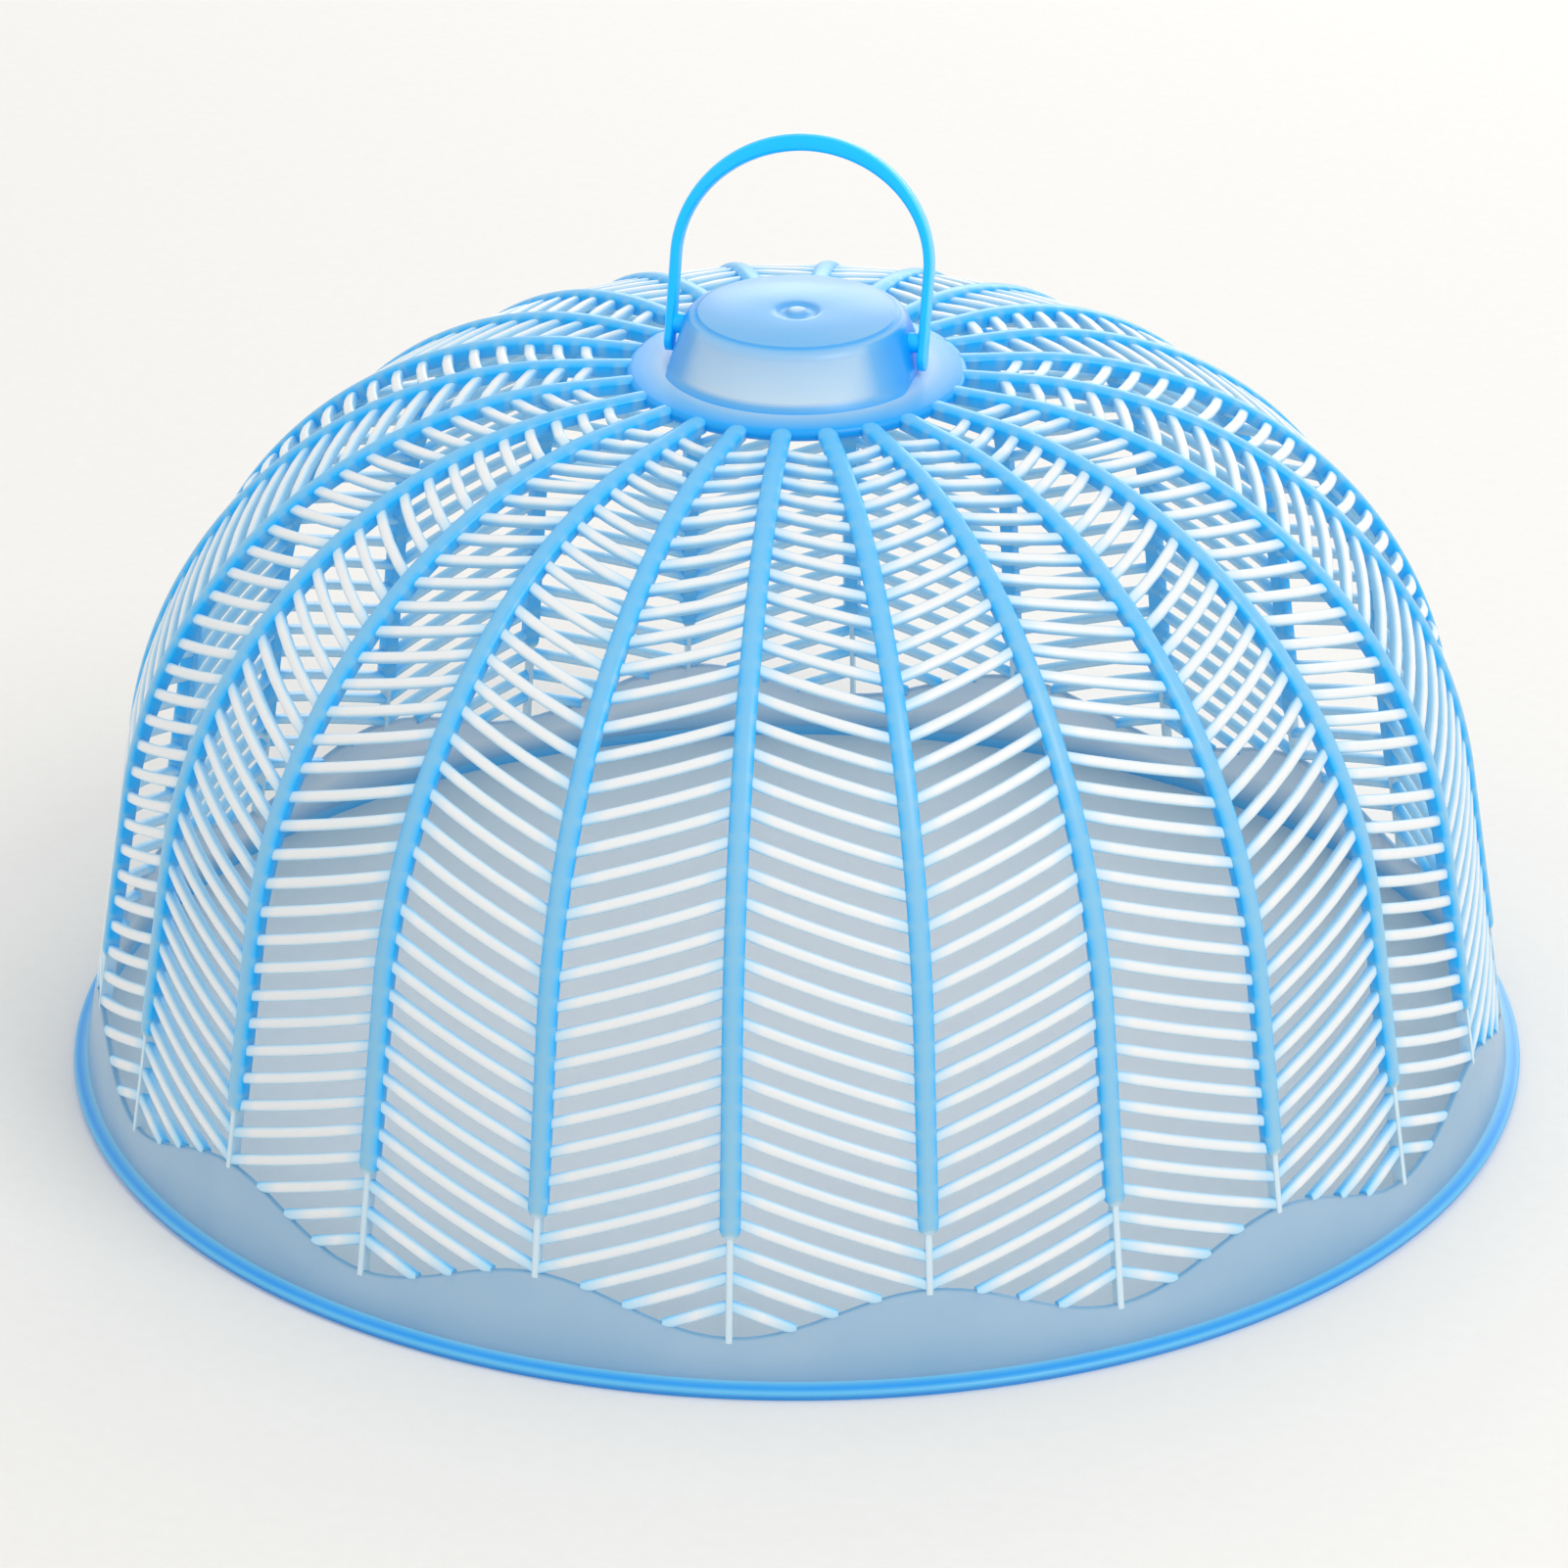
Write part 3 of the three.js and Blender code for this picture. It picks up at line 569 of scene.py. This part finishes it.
def add_slats(skin, number, spine_turn):
    """Two slats as one bar bent over their spine, whose ends come down to the dividing ribs, or to the
    band where they meet that first."""
    station = FIRST_SLAT + number * SLAT_PITCH
    reach = dome.at(station)[0] * SECTOR_ANGLE
    fall = reach * math.tan(SLAT_SLOPE)

    def place(share):
        return max(station - fall * share, 0)

    def meets_band(share):
        return dome.at(place(share))[1] < band_edge(share * SECTOR_ANGLE) - SLAT_BAND_OVERLAP

    end = turning_point(meets_band, 0, 1) if meets_band(1) else 1
    steps = max(2, round(reach * end / SLAT_STEP))
    rings, depths = [], []
    for i in range(-steps, steps + 1):
        share = end * i / steps
        turn = spine_turn + SECTOR_ANGLE * share
        here = place(abs(share))
        rings.append([dome.point(here, turn, rise, climb) for rise, climb, _ in SLAT_SECTION])
        root = SLAT_ROOT_DEPTH if i in (-steps, 0, steps) else 0
        depths.append([min(depth + root, 1) for *_, depth in SLAT_SECTION])
    skin.sweep(rings, depths)


def make_petal(number):
    """A spine and the slats on both of its sides, as two pieces that stand for one CAD node."""
    turn = PHASE + number * PETAL_ANGLE
    node = f"petal_{number + 1:02d}"
    make_rib(f"spine_{number + 1:02d}", turn, BAND_VALLEY_HEIGHT, node)
    skin = Skin()
    for pair in range(SLAT_COUNT):
        add_slats(skin, pair, turn)
    skin.piece(f"slats_{number + 1:02d}", SLAT_PLASTIC, "cover", "slat_plastic", node, sharp=60)


def make_dividing_rib(number):
    turn = PHASE + number * PETAL_ANGLE + SECTOR_ANGLE
    make_rib(f"rib_{number + 1:02d}", turn, BAND_PEAK_HEIGHT, f"divider_rib_{number + 1:02d}")


# Crown ring and hub

def make_ring():
    """The ring as a turned outline, from its hole out under it and back over its round edge."""
    edge_top = RING_TOP - RING_SLOPE_RISE
    half = RING_THICKNESS / 2
    outline = [(RING_HOLE_RADIUS, RING_TOP - RING_THICKNESS, 0.6)]
    edge = arc((RING_RADIUS - half, edge_top - half), half, -90, 90, 8)
    outline += tinted(edge, [0.7] + [1.0] * 7 + [0.9])
    outline += [
        # Deeper blue from here out to the edge: painted shade for the shadowed ribs seen through the
        # ring; the round edge itself is the thickest plastic
        (RING_RADIUS - RING_SHADE_REACH, lerp(edge_top, RING_TOP, 0.3), 0.4),
        (HUB_FOOT_RADIUS + HUB_FILLET, RING_TOP - RING_FOOT_SINK, 0.2),
        (RING_HOLE_RADIUS, RING_TOP, 0.6)]
    skin = Skin()
    skin.sweep(turned(outline, RING_STEPS), [depths_along(outline)] * RING_STEPS, closed=True)
    skin.piece("ring_plate", RING_PLASTIC, "cover", "ring_plastic", "crown_ring")


def hub_outline():
    """The hub's inside, its wall and its top, from the ceiling down inside it, up its wall and in over
    its disc and dimple to the nub."""
    top = HUB_FOOT + HUB_HEIGHT
    ceiling = top - HUB_WALL
    foot = RING_TOP - HUB_FOOT_SINK
    dimple = top - DIMPLE_DEPTH
    nub_top = dimple + NUB_RISE
    inside = [
        (HUB_TOP_RADIUS - 2.6 * MM, ceiling, 0.35),
        (HUB_TOP_RADIUS - 1.6 * MM, ceiling, 0.4),
        (HUB_TOP_RADIUS + HUB_SHOULDER - HUB_WALL - 0.3 * MM, ceiling - 1.8 * MM, 0.5),
        (HUB_FOOT_RADIUS - HUB_WALL, foot, 0.6),
        (HUB_FOOT_RADIUS + HUB_FILLET, foot, 0.9)]
    shoulder = arc((HUB_TOP_RADIUS, top - HUB_DISC_STEP - HUB_SHOULDER), HUB_SHOULDER, 12, 88, 6)
    wall = [
        (HUB_FOOT_RADIUS + 0.3 * MM, HUB_FOOT + 0.35 * MM, 0.5),
        (HUB_FOOT_RADIUS - 0.25 * MM, HUB_FOOT + 1.3 * MM, 0.0)]
    wall += tinted(shoulder[:4], [0.18, 0.25, 0.3, 0.35])
    disc = tinted(shoulder[4:], [0.4, 0.5, 0.75])
    disc += [
        (HUB_TOP_RADIUS - 0.1 * MM, top - 0.1 * MM, 0.8),
        (HUB_TOP_RADIUS - 0.3 * MM, top, 0.45),
        (DIMPLE_RADIUS + 1.2 * MM, top, 0.5),
        (DIMPLE_RADIUS + 0.4 * MM, top, 0.5),
        (DIMPLE_RADIUS, top - 0.15 * MM, 0.6),
        (DIMPLE_RADIUS - 0.5 * MM, dimple, 0.7),
        (NUB_RADIUS + 0.4 * MM, dimple, 0.5),
        (NUB_RADIUS, dimple + 0.2 * MM, 0.6),
        (NUB_RADIUS - 0.5 * MM, nub_top - 0.1 * MM, 0.4),
        (NUB_RADIUS - 1.1 * MM, nub_top, 0.2)]
    return inside, wall, disc


def make_hub():
    """The hollow hub as circles. They are pressed flat at the bail's legs, and the wall is a deeper blue
    in patches beside the studs.
    """
    inside, wall, disc = hub_outline()
    rings = circles(inside + wall + disc, RING_STEPS)
    for ring in rings:
        for point in ring:
            point.x = max(-HUB_FLAT, min(HUB_FLAT, point.x))
    beside = [1 - abs(math.cos(math.tau * i / RING_STEPS)) for i in range(RING_STEPS)]
    patch = [math.exp(-(share / STUD_SHADE_REACH) ** 2) for share in beside]
    depths = [[depth] * RING_STEPS for depth in depths_along(inside)]
    depths += [[max(depth, shade) for shade in patch] for depth in depths_along(wall)]
    depths += [[depth] * RING_STEPS for depth in depths_along(disc)]
    skin = Skin()
    skin.sweep(rings, depths)
    skin.piece("hub_shell", HUB_PLASTIC, "cover", "hub_plastic", "crown_hub", sharp=50)


# Bail handle

STRAP_INSIDE = HUB_FLAT + SWING_GAP  # from the middle out to the inside of a leg
STRAP_MIDDLE = STRAP_INSIDE + LEG_THICKNESS / 2
BAIL_STAND = Matrix.Translation(PIVOT) @ Matrix.Rotation(-BAIL_LEAN, 4, "X")


def bail_section(width, thickness):
    """(across, outward) round the strap, with small rounded edges."""
    half_width, half = width / 2, thickness / 2
    rounding = min(BAIL_ROUNDING, half_width / 2, half / 2)
    section = []
    for across, outward, start in CORNERS:
        centre = (across * (half_width - rounding), outward * (half - rounding))
        section += arc(centre, rounding, start, start + 90, CORNER_STEPS)
    return section


def leg_rows():
    """(middle, outward direction, width, thickness) of the strap up its right leg, from the tip of the
    round end to where the arch begins."""
    levels = []  # (height, width)
    neck = math.acos(BAIL_WIDTH / 2 / LEG_END_RADIUS)
    for i in range(1, LEG_END_STEPS + 1):
        angle = lerp(-math.pi / 2, neck, i / LEG_END_STEPS)
        width = 2 * LEG_END_RADIUS * math.cos(angle)
        levels.append((LEG_END_RADIUS * math.sin(angle) - LEG_TAIL, width))
    neck_height = levels[-1][0]
    for i in range(1, LEG_STEPS + 1):
        levels.append((lerp(neck_height, LEG_HEIGHT, i / LEG_STEPS), BAIL_WIDTH))
    tip_height, tip_width = levels[0]
    levels[0] = (tip_height - LEG_TIP, tip_width / 2)
    out = Vector((1, 0, 0))
    return [(Vector((STRAP_MIDDLE, 0, height)), out, width, LEG_THICKNESS) for height, width in levels]


def arch_rows():
    """The same over the arch, from right to left. The strap is thickest at its top, where it is held."""
    rows = []
    rise = BAIL_HEIGHT - LEG_HEIGHT
    for i in range(1, ARCH_STEPS):
        angle = math.pi * i / ARCH_STEPS
        aside, up = math.cos(angle), math.sin(angle)
        outer = Vector(((STRAP_INSIDE + LEG_THICKNESS) * aside, 0, rise * up))
        inner = Vector((STRAP_INSIDE * aside, 0, (rise - GRIP_THICKNESS) * up))
        through = outer - inner
        middle = (outer + inner) / 2 + Vector((0, 0, LEG_HEIGHT))
        rows.append((middle, through.normalized(), BAIL_WIDTH, through.length))
    return rows


def make_strap():
    """The bail's strap, up its right leg, over the arch and down its left leg."""
    right = leg_rows()
    rows = right + arch_rows()
    for middle, way, width, thickness in reversed(right):
        rows.append((Vector((-middle.x, 0, middle.z)), -way, width, thickness))
    rings, depths = [], []
    for middle, way, width, thickness in rows:
        ring, row = [], []
        for across, outward in bail_section(width, thickness):
            ring.append(BAIL_STAND @ (middle + Vector((0, across, 0)) + way * outward))
            is_outside = outward > thickness / 2 - BAIL_ROUNDING / 2
            row.append(BAIL_OUTSIDE_DEPTH if is_outside else 1.0)
        rings.append(ring)
        depths.append(row)
    skin = Skin()
    skin.sweep(rings, depths)
    skin.piece("bail_strap", BAIL_PLASTIC, "bail", "bail_plastic", "bail_handle", sharp=50)


def make_stud(side, word):
    """A stud through the hub's wall, with a snap head behind it, turned about Z and laid along X."""
    head = HUB_FLAT - HUB_WALL - 2 * SWING_GAP
    taper = head - STUD_HEAD_LENGTH * (1 - STUD_TAPER_SHARE)
    outline = [
        (STUD_RADIUS, STRAP_MIDDLE, 1.0),
        (STUD_RADIUS, head, 1.0),
        (STUD_HEAD_RADIUS, head - 0.1 * MM, 1.0),
        (STUD_HEAD_RADIUS, taper, 1.0),
        (STUD_RADIUS * STUD_TIP_SHARE, head - STUD_HEAD_LENGTH, 1.0)]
    lay = BAIL_STAND @ Matrix.Rotation(side * math.pi / 2, 4, "Y")
    rings = [[lay @ point for point in ring] for ring in circles(outline, STUD_STEPS)]
    skin = Skin()
    skin.sweep(rings, [[depth] * STUD_STEPS for depth in depths_along(outline)])
    skin.piece(f"stud_{word}", BAIL_PLASTIC, "bail", "bail_plastic")


# Floor

FLOOR_HALF = 6.0
FLOOR_ROUGHNESS = 0.75
FLOOR_GRAIN_SCALE = 300
FLOOR_DARKER = (0.80, 0.785, 0.755, 1)
FLOOR_LIGHTER = (0.84, 0.825, 0.795, 1)


def make_floor():
    material = bpy.data.materials.new("floor_paper")
    material.use_nodes = True
    tree = material.node_tree
    shader = tree.nodes["Principled BSDF"]
    shader.inputs["Roughness"].default_value = FLOOR_ROUGHNESS
    place = tree.nodes.new("ShaderNodeTexCoord")
    tint = tree.nodes.new("ShaderNodeMix")
    tint.data_type = "RGBA"
    tint.inputs["A"].default_value = FLOOR_DARKER
    tint.inputs["B"].default_value = FLOOR_LIGHTER
    tree.links.new(add_noise(tree, place, FLOOR_GRAIN_SCALE, detail=4), tint.inputs["Factor"])
    tree.links.new(tint.outputs["Result"], shader.inputs["Base Color"])
    mesh = bpy.data.meshes.new("floor")
    corners = [
        (-FLOOR_HALF, -FLOOR_HALF, 0), (FLOOR_HALF, -FLOOR_HALF, 0),
        (FLOOR_HALF, FLOOR_HALF, 0), (-FLOOR_HALF, FLOOR_HALF, 0)]
    mesh.from_pydata(corners, [], [(0, 1, 2, 3)])
    mesh.materials.append(material)
    floor = bpy.data.objects.new("floor", mesh)
    bpy.context.scene.collection.objects.link(floor)


# Light

BACKDROP_STRENGTH = 0.9
LIGHT_AIM = Vector((0, 0, 0.08))


def add_light(name, place, width, height, power):
    data = bpy.data.lights.new(name, "AREA")
    data.shape = "RECTANGLE"
    data.size = width
    data.size_y = height
    data.energy = power
    light = bpy.data.objects.new(name, data)
    light.location = place
    aim = LIGHT_AIM - Vector(place)
    light.rotation_euler = aim.to_track_quat("-Z", "Y").to_euler()
    bpy.context.scene.collection.objects.link(light)


def make_lights():
    world = bpy.data.worlds.new("studio")
    world.use_nodes = True
    backdrop = world.node_tree.nodes["Background"]
    backdrop.inputs["Color"].default_value = (1.0, 1.0, 1.0, 1)
    backdrop.inputs["Strength"].default_value = BACKDROP_STRENGTH
    bpy.context.scene.world = world
    add_light("key", (1.0, -0.6, 1.4), width=0.8, height=0.8, power=9)
    add_light("backdrop", (0.15, 1.7, 0.5), width=1.6, height=0.6, power=7)
    bpy.context.scene.view_settings.view_transform = "Standard"


# Camera

PHOTO_SIZE = 1601  # pixels, both ways
FOCAL_PIXELS = 6692.4
AXIS_PIXEL = 813.7  # where the lens's axis crosses the picture, from its left edge
CAMERA_DISTANCE = 1368.3 * MM
CAMERA_ELEVATION = math.radians(27.71)
CAMERA_AZIMUTH = math.radians(12.54)
CAMERA_PITCH = math.radians(25.55)  # how far it looks down
CAMERA_NEAR = 10 * MM
SENSOR = 36.0  # millimetres, as Blender counts it


def make_camera():
    data = bpy.data.cameras.new("camera")
    data.sensor_width = SENSOR
    data.lens = FOCAL_PIXELS / PHOTO_SIZE * SENSOR
    data.shift_x = (PHOTO_SIZE / 2 - AXIS_PIXEL) / PHOTO_SIZE
    data.clip_start = CAMERA_NEAR
    camera = bpy.data.objects.new("camera", data)
    level = CAMERA_DISTANCE * math.cos(CAMERA_ELEVATION)
    camera.location = (
        level * math.sin(CAMERA_AZIMUTH), -level * math.cos(CAMERA_AZIMUTH),
        CAMERA_DISTANCE * math.sin(CAMERA_ELEVATION))
    camera.rotation_euler = (math.pi / 2 - CAMERA_PITCH, 0, CAMERA_AZIMUTH)
    bpy.context.scene.collection.objects.link(camera)
    bpy.context.scene.camera = camera


make_camera()
make_lights()
make_floor()
make_lip()
make_band()
for petal_number in range(PETAL_COUNT):
    make_petal(petal_number)
    make_dividing_rib(petal_number)
make_ring()
make_hub()
make_strap()
make_stud(1, "right")
make_stud(-1, "left")
